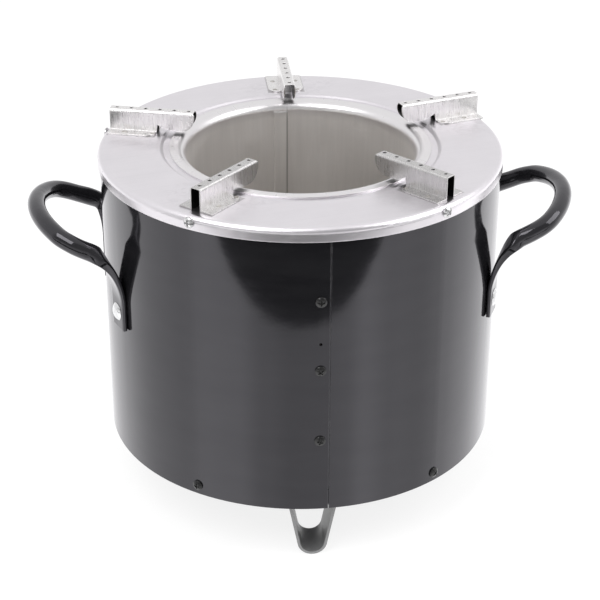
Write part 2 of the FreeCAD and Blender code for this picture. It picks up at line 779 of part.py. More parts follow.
def fuel_tunnel():
    body = new_body("Tunnel")
    gauge, low, high = dim("fuel_sheet"), dim("fuel_low"), dim("fuel_high")
    sketch = new_sketch(body, "TunnelOuter", "XZ_Plane")
    rounded_outline(sketch, fuel_half + gauge, low - gauge, high + gauge,
                    dim("fuel_corner") + gauge)
    pad(body, "TunnelPad", sketch, dim("tunnel_front"), reverse=True)
    sketch = new_sketch(body, "TunnelInner", "XZ_Plane")
    rounded_outline(sketch, fuel_half, low, high, dim("fuel_corner"))
    pocket_inward(body, "TunnelBore", sketch, dim("tunnel_front") + OVERCUT)
    core = cylinder("TunnelCore", wall_outer + dim("tunnel_chamber_play"), TALL)
    keep(cut("TunnelTrim", body, core), "fuel_tunnel")


def fuel_mouth_frame():
    """A flange bent to the shell with a straight collar around the tunnel."""
    shell_face = dim("shell_radius") + dim("mouth_play")
    band = tube("MouthBand", shell_face + dim("mouth_sheet"), shell_face, 0, TALL)
    window = fuel_prism(num("mouth_flange") + fuel_outset, 60, 170, num("mouth_corner"))
    flange = doc.addObject("Part::MultiCommon", "MouthFlange")
    flange.Shapes = [band, plain("MouthOutline", window)]
    bar = fuel_prism(fuel_outset + num("mouth_sheet"), 100, num("mouth_front"))
    collar = cut("MouthCollar", plain("MouthCollarBar", bar), band.Tool)
    blank = fuse("MouthBlank", [flange, collar])
    tools = [fuel_hole] + mouth_drills
    keep(cut_all("MouthCut", blank, "MouthHoles", tools), "fuel_mouth_frame")


def shelf_rail(side, name):
    """An angle on one side wall of the tunnel; side is the sign of x."""
    body = new_body("Rail" + name.capitalize())
    gauge, rail_top = dim("fuel_sheet"), dim("rail_top")
    wall = fuel_half * side
    upright = (fuel_half - gauge) * side
    flat_end = (fuel_half - dim("rail_width")) * side
    lower = rail_top - dim("rail_depth")
    sketch = new_sketch(body, "RailProfile" + name, "XZ_Plane")
    outline(sketch, [
        (wall, lower),
        (wall, rail_top),
        (flat_end, rail_top),
        (flat_end, rail_top - gauge),
        (upright, rail_top - gauge),
        (upright, lower),
    ])
    pad(body, "RailPad" + name, sketch, dim("rail_front") - dim("rail_back"), reverse=True)
    bind(body, Placement__Base__y=dim("rail_back"))
    keep(body, "shelf_rail_" + name)


def fuel_shelf():
    """Slotted plate with a turned-down lip, on the rails."""
    body = new_body("FuelShelf")
    gauge, back, front = dim("shelf_sheet"), dim("shelf_back"), dim("shelf_front")
    low = dim("rail_top") + dim("shelf_play")
    high = low + gauge
    lip_low = low - dim("shelf_lip")
    half_width = dim("shelf_width") / 2
    sketch = new_sketch(body, "ShelfProfile", "YZ_Plane")
    outline(sketch, [
        (back, low),
        (front - gauge, low),
        (front - gauge, lip_low),
        (front, lip_low),
        (front, high),
        (back, high),
    ])
    pad(body, "ShelfPad", sketch, dim("shelf_width"), midplane=True)
    bend = dim("shelf_bend")
    fillet(body, "ShelfBend", straight_edge("x", y=front, z=high), bend)
    fillet(body, "ShelfBendInside", straight_edge("x", y=front - gauge, z=low), bend - gauge)
    fillet(body, "ShelfBackCorners", straight_edge("z", x=half_width, y=back),
           dim("shelf_corner"))
    fillet(body, "ShelfLipCorners", straight_edge("y", x=half_width, z=lip_low),
           dim("shelf_lip_corner"))

    # air slots, patterned from the one furthest to -X
    sketch = new_sketch(body, "ShelfSlot", "XY_Plane", high + OVERCUT)
    half_slot = dim("slot_width") / 2
    end_radius = half_slot * 1.001  # just over half the width, so the arc can close
    slot_x = dim("slot_pitch") * (-(SLOT_COUNT - 1) / 2)
    slot_y = back + dim("slot_start")
    outline(sketch, [
        (slot_x + half_slot, slot_y + half_slot),
        (slot_x + half_slot, slot_y + dim("slot_length"), end_radius, -1),
        (slot_x - half_slot, slot_y + dim("slot_length")),
        (slot_x - half_slot, slot_y + half_slot, end_radius, -1),
    ])
    slot = pocket(body, "ShelfSlots", sketch, gauge + 2 * OVERCUT)
    repeat(body, "SlotPattern", slot, sketch, SLOT_COUNT, dim("slot_pitch"))

    # one long slot across the lip
    sketch = new_sketch(body, "ShelfFinger", "XZ_Plane", -front - OVERCUT)
    half_length, half_height = dim("finger_half_length"), dim("finger_half_height")
    end_radius = dim("finger_end_radius")
    middle = low - dim("shelf_lip") * dim("finger_share")
    outline(sketch, [
        (-half_length, middle - half_height),
        (half_length, middle - half_height, end_radius, -1),
        (half_length, middle + half_height),
        (-half_length, middle + half_height, end_radius, -1),
    ])
    pocket_inward(body, "ShelfFingerSlot", sketch, gauge + 2 * OVERCUT)
    keep(body, "fuel_shelf")


fuel_tunnel()
fuel_mouth_frame()
shelf_rail(-1, "left")
shelf_rail(1, "right")
fuel_shelf()


# ---------------------------------------------------------------- legs
def leg(shift, name):
    """U-bent strap with two outward tabs under the pan."""
    body = new_body("Leg" + name.title().replace("_", ""))
    bend, gauge, flare = dim("leg_bend"), dim("leg_sheet"), dim("leg_flare")
    cosine, sine, slope = (trig(kind, flare) for kind in ("cos", "sin", "tan"))
    upper = dim("pan_bottom")
    under = upper - gauge
    # where each skin leaves the bottom bend, then where it meets the tab
    outer_y, outer_z = bend * cosine, bend - bend * sine
    inner_y, inner_z = (bend - gauge) * cosine, bend - (bend - gauge) * sine
    tab_outer = outer_y + (under - outer_z) * slope
    tab_inner = inner_y + (upper - inner_z) * slope
    tab_end = tab_outer + dim("leg_tab")
    sketch = new_sketch(body, "LegProfile" + name, "YZ_Plane", dim("leg_inner"))
    outline(sketch, [
        (-outer_y, outer_z, bend, -1),
        (outer_y, outer_z),
        (tab_outer, under),
        (tab_end, under),
        (tab_end, upper),
        (tab_inner, upper),
        (inner_y, inner_z, bend - gauge, 1),
        (-inner_y, inner_z),
        (-tab_inner, upper),
        (-tab_end, upper),
        (-tab_end, under),
        (-tab_outer, under),
    ])
    pad(body, "LegPad" + name, sketch, dim("leg_outer") - dim("leg_inner"))
    fillet(body, "LegBend" + name, straight_edge("x", y=tab_outer, z=under),
           dim("leg_tab_bend"))
    fillet(body, "LegBendInside" + name, straight_edge("x", y=tab_inner, z=upper),
           dim("leg_tab_bend_inside"))
    drills = [leg_rivet_drill(spot) for spot in leg_rivet_pair]
    strap = cut_all("LegCut" + name, body, "LegHoles" + name, drills)
    turned(strap, dim("leg_azimuth") + shift)
    keep(strap, name)


def leg_rivet(spot):
    """Rivet through tab and pan, domed below and flat above."""
    low = num("pan_bottom") - num("leg_sheet")
    high = num("pan_bottom") + num("pan_sheet")
    head, height, tail_thick = num("leg_rivet_head"), num("leg_rivet_dome"), num("leg_rivet_tail")
    shank = Part.makeCylinder(num("leg_rivet_radius"), high - low + tail_thick, Vec(0, 0, low))
    cap = dome(head, height, Vec(0, 0, low - height), UP, tip_first=True)
    tail = Part.makeCylinder(head - num("leg_rivet_tail_cut"), tail_thick, Vec(0, 0, high))
    rivet = shank.fuse([cap, tail]).removeSplitter()
    rivet.translate(Vec(spot.x, spot.y, 0))
    return rivet


leg(0, "leg_front")
leg(120, "leg_rear_right")
leg(240, "leg_rear_left")
leg_rivets = Part.makeCompound([leg_rivet(spot) for spot in leg_rivet_spots])
keep(plain("LegRivets", leg_rivets), "leg_rivets")


# ---------------------------------------------------------------- pot supports
# Inverted channel with welded feet; the nose hangs over the chamber's mouth.
# Each is built along +X, its length measured from the body's origin.
support_high = top + dim("support_height")
support_nose, support_tail = dim("support_nose"), dim("support_tail")
support_foot = dim("support_foot_start")
support_gauge = dim("support_sheet")


def channel_outline(sketch, half_width, low, high, bend):
    """A rectangle with its two upper corners rounded."""
    outline(sketch, [
        (-half_width, low),
        (half_width, low),
        (half_width, high - bend, bend, -1),
        (half_width - bend, high),
        (-half_width + bend, high, bend, -1),
        (-half_width, high - bend),
    ])


def support_channel(body, tag):
    """Rounded bar, feet on both sides, then the hollow of the channel."""
    half_width, edge = dim("support_width") / 2, dim("support_edge")
    sketch = new_sketch(body, "SupportEnd" + tag, "YZ_Plane", support_nose)
    channel_outline(sketch, half_width, top, support_high, edge)
    pad(body, "SupportPad" + tag, sketch, support_tail - support_nose)

    sketch = new_sketch(body, "SupportFeet" + tag, "XY_Plane", top)
    wide = half_width + dim("support_foot")
    corner = dim("support_foot_corner")
    outline(sketch, [
        (support_foot + corner, -wide),
        (support_tail, -wide),
        (support_tail, wide),
        (support_foot + corner, wide, corner, -1),
        (support_foot, wide - corner),
        (support_foot, -wide + corner, corner, -1),
    ])
    pad(body, "SupportFeetPad" + tag, sketch, support_gauge)

    sketch = new_sketch(body, "SupportHollow" + tag, "YZ_Plane", support_nose - OVERCUT)
    channel_outline(sketch, half_width - support_gauge, top - OVERCUT,
                    support_high - support_gauge, edge - support_gauge)
    pocket_inward(body, "SupportHollowCut" + tag, sketch,
                  support_tail - support_nose + 2 * OVERCUT)


def support_trim(body, tag):
    """Webs cut to a rounded nose and an arch in front of the feet."""
    margin = 3.0  # the cutter's outline outside the channel
    nose_radius = dim("support_nose_radius")
    sketch = new_sketch(body, "SupportSide" + tag, "XZ_Plane")
    # x along the support, z; the offsets shape the web's lower edge
    outline(sketch, [
        (support_nose - margin, top - margin),
        (support_foot + 0.2, top - margin),
        (support_foot + 0.2, top),
        (support_foot - 0.6, top + dim("support_arch_height"), dim("support_arch_radius"), 1),
        (support_nose + 15.0, top + 2.1),
        (support_nose + 9.0, top + 2.0, dim("support_chin_radius"), 1),
        (support_nose, support_high - nose_radius, nose_radius, 1),
        (support_nose + nose_radius, support_high),
        (support_nose + nose_radius, support_high + margin),
        (support_nose - margin, support_high + margin),
    ])
    pocket(body, "SupportNose" + tag, sketch, dim("support_width") * 4, midplane=True)
    doc.recompute()


def support_holes(body, tag):
    """Row of holes in the top."""
    first = num("support_hole_first")
    sketch = new_sketch(body, "SupportHole" + tag, "XY_Plane", support_high + OVERCUT)
    sketch.addGeometry(Part.Circle(Vec(first, 0, 0), UP, num("support_hole")), False)
    constrain(sketch, dim("support_hole"), "Radius", 0)
    constrain(sketch, dim("support_hole_first"), "DistanceX", -1, 1, 0, 3)
    sketch.addConstraint(Sketcher.Constraint("PointOnObject", 0, 3, -1))
    hole = pocket(body, "SupportHoleCut" + tag, sketch, support_gauge + 2 * OVERCUT)
    repeat(body, "SupportHoles" + tag, hole, sketch, HOLE_COUNT, dim("support_hole_pitch"))
    doc.recompute()


def pot_support(place):
    tag = place.title().replace("_", "")
    body = new_body("Support" + tag)
    support_channel(body, tag)
    support_trim(body, tag)
    support_holes(body, tag)
    # the placement puts the support's middle at its measured spot
    middle = (support_nose + support_tail) / 2
    distance, azimuth = dim(place + "_distance"), dim(place + "_azimuth")
    heading = dim(place + "_heading")
    base_x = distance * trig("cos", azimuth) - middle * trig("cos", heading)
    base_y = distance * trig("sin", azimuth) - middle * trig("sin", heading)
    body.Placement = FreeCAD.Placement(Vec(base_x.number, base_y.number, 0),
                                       FreeCAD.Rotation(UP, heading.number))
    bind(body, Placement__Base__x=base_x, Placement__Base__y=base_y,
         Placement__Rotation__Angle=heading)
    keep(body, "pot_support_" + place)


for place, *measures in SUPPORTS:
    pot_support(place)

# ---------------------------------------------------------------- handles
# Bent tube whose two ends are crushed flat and riveted to the shell.  A handle
# is built about its own middle: u runs outwards (X), v sideways (Y).
reach = num("handle_reach")
rise = math.tan(math.radians(num("handle_rise")))
spread = num("handle_spread")
foot_radius = num("shell_radius") + num("foot_thick") / 2.0 + num("foot_play")
foot_angle = math.radians(num("handle_foot_angle"))
foot_radial = Vec(math.cos(foot_angle), math.sin(foot_angle), 0)

# half of the loop's centre line from its middle to the straight arm:
# distance back from the far end, distance sideways
LOOP_TABLE = [(0.0, 0.0), (1.3, 14.0), (5.4, 28.3), (11.4, 40.0),
              (16.8, 46.3), (24.0, 50.2), (32.0, 52.0)]
half_loop = [(reach - back, v) for back, v in LOOP_TABLE]

# The front arm bends down early and sharply, the rear one runs on straight.
# bend_u: where the bend starts; flat_top: upper end of the flat; foot_pull and
# arm_pull: tangent lengths of the bend as shares of its span; crush: share of
# the bend, from the foot, at which the strap starts to open into the tube
FRONT_ARM = dict(bend_u=reach - 35.4, flat_top=num("foot_high_front"),
                 foot_pull=0.90, arm_pull=0.88, crush=0.80)
REAR_ARM = dict(bend_u=reach - 46.0, flat_top=num("foot_high_rear"),
                foot_pull=1.10, arm_pull=1.00, crush=0.70)

FOOT_SHARES = (0.0, 0.36, 0.72)      # sections up the flat foot
BEND_STEPS = 12                      # sections along a bend, less one
LOOP_STEPS = 20                      # sections along the loop, less one
SECTION_STEPS = 12                   # points around half a section, less one
FLAT_POWER, ROUND_POWER = 6.0, 2.0   # superellipse powers of strap and tube
STRAP_GROWTH, GROWTH_POWER = 2.5, 1.7   # gain in half thickness along a bend
POWER_EASE = 1.5                     # how fast the section rounds as it opens
LEAST_GAP = 3.0                      # closer sections would pinch the skin


def unit(vector):
    copy = Vec(vector)
    copy.normalize()
    return copy


def mirror(vector):
    return Vec(vector.x, -vector.y, vector.z)


def ease(w):
    return w * w * (3 - 2 * w)


arm_dir = unit(Vec(1.0, -spread, rise))
loop_under = unit(Vec(rise, 0, -1))


def loop_point(u, v):
    return Vec(u, v, num("handle_end_height") + (u - reach) * rise)


# A section is (centre, direction, outer side, half width, half thickness,
# superellipse power): power 2 is the round tube, a higher one the crushed flat.
def half_section(section, sign):
    """One of the two mirrored halves of a section, as a curve."""
    centre, along, outward, half_width, half_thick, power = section
    across = along.cross(outward)
    points = []
    for i in range(SECTION_STEPS + 1):
        phi = math.pi * i / SECTION_STEPS
        cosine, sine = math.cos(phi), abs(math.sin(phi))
        x, y = 0.0, 0.0
        if abs(cosine) > 1e-9:
            x = half_width * math.copysign(abs(cosine) ** (2.0 / power), cosine)
        if 0 < i < SECTION_STEPS:
            y = half_thick * sine ** (2.0 / power)
        points.append(centre + across * x + outward * (y * sign))
    speed = SECTION_STEPS * (points[1] - points[0]).Length
    free = SECTION_STEPS - 1
    tangents = [outward * (sign * speed)] + [Vec(0, 0, 0)] * free + [outward * (-sign * speed)]
    curve = Part.BSplineCurve()
    curve.interpolate(Points=points,
                      Parameters=[i / float(SECTION_STEPS) for i in range(SECTION_STEPS + 1)],
                      Tangents=tangents, TangentFlags=[True] + [False] * free + [True],
                      Scale=False)
    return curve


def arm_sections(bend_u, flat_top, foot_pull, arm_pull, crush):
    """Foot and crushed bend at positive v, from the foot's lower end to the tube."""
    last_u, last_v = half_loop[-1]
    arm_end = loop_point(bend_u, last_v + (last_u - bend_u) * spread)
    foot_top = foot_radial * foot_radius + UP * flat_top
    span = (arm_end - foot_top).Length
    foot_tangent = UP * (span * foot_pull)
    arm_tangent = arm_dir * (span * arm_pull)
    tube_radius = num("tube_radius")
    half_width, half_thick = num("foot_width") / 2, num("foot_thick") / 2
    low = num("foot_low")
    sections = []
    for share in FOOT_SHARES:
        centre = foot_radial * foot_radius + UP * (low + (flat_top - low) * share)
        sections.append((centre, UP, foot_radial, half_width, half_thick, FLAT_POWER))
    for i in range(BEND_STEPS + 1):
        w = i / float(BEND_STEPS)
        # cubic Hermite curve from the foot's top to the arm
        smooth = ease(w)
        centre = (foot_top * (1 - smooth) + foot_tangent * (w ** 3 - 2 * w ** 2 + w)
                  + arm_end * smooth + arm_tangent * (w ** 3 - w ** 2))
        along = unit((arm_end - foot_top) * (6 * w - 6 * w ** 2)
                     + foot_tangent * (3 * w ** 2 - 4 * w + 1)
                     + arm_tangent * (3 * w ** 2 - 2 * w))
        outward = foot_radial * (1 - smooth) + loop_under * smooth
        outward = unit(outward - along * outward.dot(along))
        # the strap thickens slowly upwards, then opens at once into the tube
        opened = ease(min(1.0, max(0.0, (w - crush) / (1.0 - crush))))
        strap = half_thick + STRAP_GROWTH * w ** GROWTH_POWER
        flat = (1 - opened) ** POWER_EASE
        sections.append((centre, along, outward,
                         half_width * (1 - opened) + tube_radius * opened,
                         strap * (1 - opened) + tube_radius * opened,
                         FLAT_POWER * flat + ROUND_POWER * (1 - flat)))
    return sections


def loop_sections():
    """Round sections along the loop, from negative to positive v."""
    points = [loop_point(u, -v) for u, v in reversed(half_loop)]
    points += [loop_point(u, v) for u, v in half_loop[1:]]
    spine = Part.BSplineCurve()
    spine.interpolate(Points=points, InitialTangent=mirror(arm_dir), FinalTangent=arm_dir * -1)
    first, last = spine.FirstParameter, spine.LastParameter
    radius = num("tube_radius")
    sections = []
    for i in range(LOOP_STEPS + 1):
        at = first + (last - first) * i / LOOP_STEPS
        sections.append((spine.value(at), spine.tangent(at)[0], loop_under,
                         radius, radius, ROUND_POWER))
    return sections


def skin(sections):
    """A solid over the sections: two half skins and two flat ends."""
    run = [0.0]
    for one, two in zip(sections, sections[1:]):
        run.append(run[-1] + (two[0] - one[0]).Length)
    run = [distance / run[-1] for distance in run]
    faces, ends = [], []
    for sign in (1, -1):
        curves = [half_section(section, sign) for section in sections]
        ends.append((curves[0], curves[-1]))
        rows = [curve.getPoles() for curve in curves]
        rails = []
        for j in range(len(rows[0])):
            rail = Part.BSplineCurve()
            rail.interpolate(Points=[row[j] for row in rows], Parameters=run)
            rails.append(rail)
        surface = Part.BSplineSurface()
        surface.buildFromPolesMultsKnots(
            [rail.getPoles() for rail in rails],
            curves[0].getMultiplicities(), rails[0].getMultiplicities(),
            curves[0].getKnots(), rails[0].getKnots(),
            False, False, curves[0].Degree, rails[0].Degree)
        faces.append(surface.toShape())
    for end in (0, 1):
        faces.append(Part.Face(Part.Wire([ends[0][end].toShape(), ends[1][end].toShape()])))
    shell = Part.makeShell(faces)
    shell.sewShape()
    solid = Part.makeSolid(shell)
    if solid.Volume < 0:
        solid.reverse()
    return solid


def handle_shape(arm_plus, arm_minus):
    """The handle about the u axis, from its arms at positive and negative v."""
    # the arm at negative v mirrors one at positive v, run from foot to tube
    start = [(mirror(centre), mirror(along), mirror(outward), *sizes)
             for centre, along, outward, *sizes in arm_sections(**arm_minus)]
    finish = [(centre, along * -1, *others)
              for centre, along, *others in reversed(arm_sections(**arm_plus))]
    loop = loop_sections()
    while (loop[0][0] - start[-1][0]).Length < LEAST_GAP:
        loop.pop(0)
    while (loop[-1][0] - finish[0][0]).Length < LEAST_GAP:
        loop.pop()
    drills = [radial_drill(rivet_hole, side * num("handle_foot_angle"), num("rivet_height"))
              for side in (-1, 1)]
    return skin(start + loop + finish).cut(Part.makeCompound(drills))


# once turned into place, the left handle's front arm is at positive v, the
# right handle's at negative v
for name, label, azimuth, arms in (
        ("HandleLeft", "handle_left", handle_azimuths[0], (FRONT_ARM, REAR_ARM)),
        ("HandleRight", "handle_right", handle_azimuths[1], (REAR_ARM, FRONT_ARM))):
    handle = plain(name, handle_shape(*arms))
    handle.Placement = FreeCAD.Placement(ORIGIN, FreeCAD.Rotation(UP, azimuth))
    keep(handle, label)

# ---------------------------------------------------------------- handle rivets
# Domed rivets through foot, shell and backing washer, built along +X.
foot_face = num("shell_radius") + num("rivet_head_play") + num("foot_thick")
shell_inner = num("shell_radius") - num("shell_sheet")
washer_inner = shell_inner - num("washer_sink") - num("washer_thick")


def handle_rivet():
    shank_radius, tail_thick = num("rivet_shank"), num("rivet_tail_thick")
    overlap = 0.5  # shank into the inner head and into the dome
    cap = dome(num("rivet_head"), num("rivet_dome"), Vec(foot_face, 0, 0), ALONG_X)
    shank = Part.makeCylinder(shank_radius, foot_face - washer_inner + 2 * overlap,
                              Vec(washer_inner - overlap, 0, 0), ALONG_X)
    tail = Part.makeCylinder(shank_radius + num("rivet_tail_rim"), tail_thick,
                             Vec(washer_inner - tail_thick, 0, 0), ALONG_X)
    rivet = shank.fuse([cap, tail]).removeSplitter()
    rivet.translate(Vec(0, 0, num("rivet_height")))
    return rivet


def rivet_washer():
    """A drilled disc whose outer face follows the shell."""
    height = num("rivet_height")
    washer = Part.makeCylinder(num("washer_radius"), num("washer_thick"),
                               Vec(washer_inner, 0, height), ALONG_X)
    bore = Part.makeCylinder(rivet_hole, 10, Vec(washer_inner - 5, 0, height), ALONG_X)
    inside_shell = Part.makeCylinder(shell_inner - num("washer_play"), 40,
                                     Vec(0, 0, height - 20))
    return washer.cut(bore).common(inside_shell)


for name, label, piece in (("HandleRivets", "handle_rivets", handle_rivet()),
                           ("RivetWashers", "rivet_washers", rivet_washer())):
    copies = [rotated(piece, azimuth) for azimuth in rivet_azimuths]
    keep(plain(name, Part.makeCompound(copies)), label)

# ---------------------------------------------------------------- check, write
doc.recompute()

bad = []
for obj in doc.Objects:
    if "Invalid" in obj.State or "Error" in obj.State:
        bad.append("%s: %s" % (obj.Label, obj.State))
for obj in kept:
    shape = obj.Shape
    if shape.isNull() or not shape.isValid():
        bad.append("%s: bad shape" % obj.Label)
    elif not shape.Solids:
        bad.append("%s: no solid" % obj.Label)
if bad:
    raise RuntimeError("; ".join(bad))

for obj in kept:
    shape = obj.Shape
    if shape.ShapeType == "Compound" and len(shape.Solids) == 1:
        shape = shape.Solids[0]
    shape.exportStep(os.path.join("parts", obj.Label + ".step"))
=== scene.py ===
"""Surfaces and studio for a small round stove with a side fuel mouth and pot supports.

The stove stands upright about the Z axis, in metres. The camera looks at it from -Y, its
front, and from above; +X is to the right in the picture. Materials read object coordinates.
"""
import math
import random

import bmesh
import bpy
from mathutils import Matrix, Vector


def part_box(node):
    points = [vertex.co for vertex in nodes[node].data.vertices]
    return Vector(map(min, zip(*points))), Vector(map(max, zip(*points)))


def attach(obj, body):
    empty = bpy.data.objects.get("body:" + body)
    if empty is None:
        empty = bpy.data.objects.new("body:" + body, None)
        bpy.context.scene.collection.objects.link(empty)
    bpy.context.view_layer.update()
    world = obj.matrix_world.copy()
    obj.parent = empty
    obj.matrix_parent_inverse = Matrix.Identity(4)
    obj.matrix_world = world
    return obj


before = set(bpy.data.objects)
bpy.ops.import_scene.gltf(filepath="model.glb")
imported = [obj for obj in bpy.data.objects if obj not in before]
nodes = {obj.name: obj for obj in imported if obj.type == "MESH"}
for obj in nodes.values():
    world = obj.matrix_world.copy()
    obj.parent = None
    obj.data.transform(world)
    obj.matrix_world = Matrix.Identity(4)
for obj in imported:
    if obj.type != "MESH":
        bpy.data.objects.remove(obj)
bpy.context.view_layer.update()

scene = bpy.context.scene


def add_object(name, data):
    obj = bpy.data.objects.new(name, data)
    scene.collection.objects.link(obj)
    return obj


def add_mesh(name, bm):
    """Turn a bmesh into an object and free it."""
    mesh = bpy.data.meshes.new(name)
    bm.to_mesh(mesh)
    bm.free()
    return add_object(name, mesh)


# ------------------------------------------------------------------ camera
VIEW = math.radians(84.0)        # bearing of the view, from +X towards +Y
PITCH = math.radians(-27.497)
ROLL = math.radians(0.194)
CAMERA_PLACE = (-0.1210, -1.1514, 0.7423)

forward = Vector((math.cos(VIEW) * math.cos(PITCH),
                  math.sin(VIEW) * math.cos(PITCH),
                  math.sin(PITCH)))
level = Vector((math.cos(VIEW), math.sin(VIEW), 0.0))    # the view, laid flat
side = Vector((math.sin(VIEW), -math.cos(VIEW), 0.0))    # right of the view


def add_camera():
    upward = side.cross(forward)
    cam_x = side * math.cos(ROLL) + upward * math.sin(ROLL)
    cam_y = upward * math.cos(ROLL) - side * math.sin(ROLL)
    data = bpy.data.cameras.new("camera")
    data.lens = 100.69
    data.sensor_width = 36.0
    data.clip_start = 0.05
    data.clip_end = 40.0
    camera = add_object("camera", data)
    rows = zip(cam_x, cam_y, -forward, CAMERA_PLACE)
    camera.matrix_world = Matrix((*rows, (0, 0, 0, 1)))
    scene.camera = camera


add_camera()


# ------------------------------------------------------------------ node helpers
class Graph:
    """A node tree whose nodes are added one call at a time. Values may be sockets or numbers."""

    def __init__(self, tree):
        self.tree = tree
        tree.nodes.clear()

    def put(self, socket, value):
        if isinstance(value, bpy.types.NodeSocket):
            self.tree.links.new(value, socket)
        elif value is not None:
            if socket.type == "RGBA" and len(value) == 3:
                value = (*value, 1.0)
            socket.default_value = value

    def node(self, kind, **inputs):
        """Add a node; an underscore in an input's name stands for a space."""
        node = self.tree.nodes.new("ShaderNode" + kind)
        self.fill(node, **inputs)
        return node

    def fill(self, node, **inputs):
        for key, value in inputs.items():
            self.put(node.inputs[key.replace("_", " ")], value)

    def math(self, operation, *values):
        node = self.node("Math")
        node.operation = operation
        for socket, value in zip(node.inputs, values):
            self.put(socket, value)
        return node.outputs[0]

    def times(self, a, b):
        return self.math("MULTIPLY", a, b)

    def minus(self, a, b):
        return self.math("SUBTRACT", a, b)

    def add(self, a, b, share=None):
        """a + b, or a + b * share."""
        return self.math("ADD", a, b if share is None else self.times(b, share))

    def offset(self, value, middle):
        """Distance of a value from a middle one."""
        return self.math("ABSOLUTE", self.minus(value, middle))

    def centred(self, noise):
        """A noise value as a swing about zero."""
        return self.minus(noise, 0.5)

    def vec(self, operation, a, b):
        node = self.node("VectorMath")
        node.operation = operation
        self.put(node.inputs[0], a)
        self.put(node.inputs[1], b)
        return node.outputs["Value"]

    def parts(self, vector):
        return self.node("SeparateXYZ", Vector=vector).outputs

    def mapped(self, vector, scale=(1, 1, 1), rotate=(0, 0, 0), shift=(0, 0, 0)):
        return self.node("Mapping", Vector=vector, Scale=scale, Rotation=rotate,
                         Location=shift).outputs[0]

    def noise(self, vector, scale=1.0, detail=3.0, rough=0.5, distortion=0.0):
        return self.node("TexNoise", Vector=vector, Scale=scale, Detail=detail,
                         Roughness=rough, Distortion=distortion).outputs["Fac"]

    def cells(self, vector, scale):
        return self.node("TexVoronoi", Vector=vector, Scale=scale).outputs["Distance"]

    def remap(self, value, span, to=(0.0, 1.0), smooth=False):
        """Carry the range span onto the range to, clamped at both ends."""
        node = self.node("MapRange", Value=value, From_Min=span[0], From_Max=span[1],
                         To_Min=to[0], To_Max=to[1])
        if smooth:
            node.interpolation_type = "SMOOTHSTEP"
        return node.outputs[0]

    def mix(self, factor, base, over, share=None):
        """Lay one colour over another by factor, or by factor * share."""
        if share is not None:
            factor = self.times(factor, share)
        node = self.node("Mix")
        node.data_type = "RGBA"
        self.put(node.inputs[0], factor)
        self.put(node.inputs[6], base)
        self.put(node.inputs[7], over)
        return node.outputs[2]

    def mix_shader(self, factor, first, second):
        node = self.node("MixShader")
        for socket, value in zip(node.inputs, (factor, first, second)):
            self.put(socket, value)
        return node.outputs[0]

    def bump(self, height, strength, distance, normal=None):
        return self.node("Bump", Strength=strength, Distance=distance, Height=height,
                         Normal=normal).outputs[0]

    def bevel(self, radius):
        node = self.node("Bevel", Radius=radius)
        node.samples = 6
        return node.outputs[0]

    def normal(self):
        return self.node("NewGeometry").outputs["Normal"]

    def flatness(self, radius):
        """1 on open faces, falling within a radius of sharp edges."""
        return self.vec("DOT_PRODUCT", self.bevel(radius), self.normal())

    def surface(self, **inputs):
        self.fill(self.body, **inputs)


def material(name):
    mat = bpy.data.materials.new(name)
    mat.use_nodes = True
    g = Graph(mat.node_tree)
    out = g.node("OutputMaterial")
    g.here = g.node("TexCoord").outputs["Object"]
    g.body = g.node("BsdfPrincipled")
    g.put(out.inputs["Surface"], g.body.outputs[0])
    return mat, g


def scaled(values, factor, limit=math.inf):
    return tuple(min(limit, value * factor) for value in values)


# ------------------------------------------------------------------ enamel
SHELL_SEAM = math.radians(-87.85)    # bearing of the shell's lap, at the front


def seam_highlight(g, colour, seam):
    """A thin pale line along the shell's lap, broken into patches: a painted highlight on the
    lap's edge.
    """
    x, y, _ = g.parts(g.here)
    angle = g.math("ARCTAN2", y, x)
    line = g.remap(g.offset(angle, seam), span=(0.0036, 0.0019), smooth=True)
    patchy = g.remap(g.noise(g.mapped(g.here), scale=60.0), span=(0.3, 0.6), to=(0.35, 1.0))
    return g.mix(g.times(line, patchy), colour, over=(0.085, 0.084, 0.086))


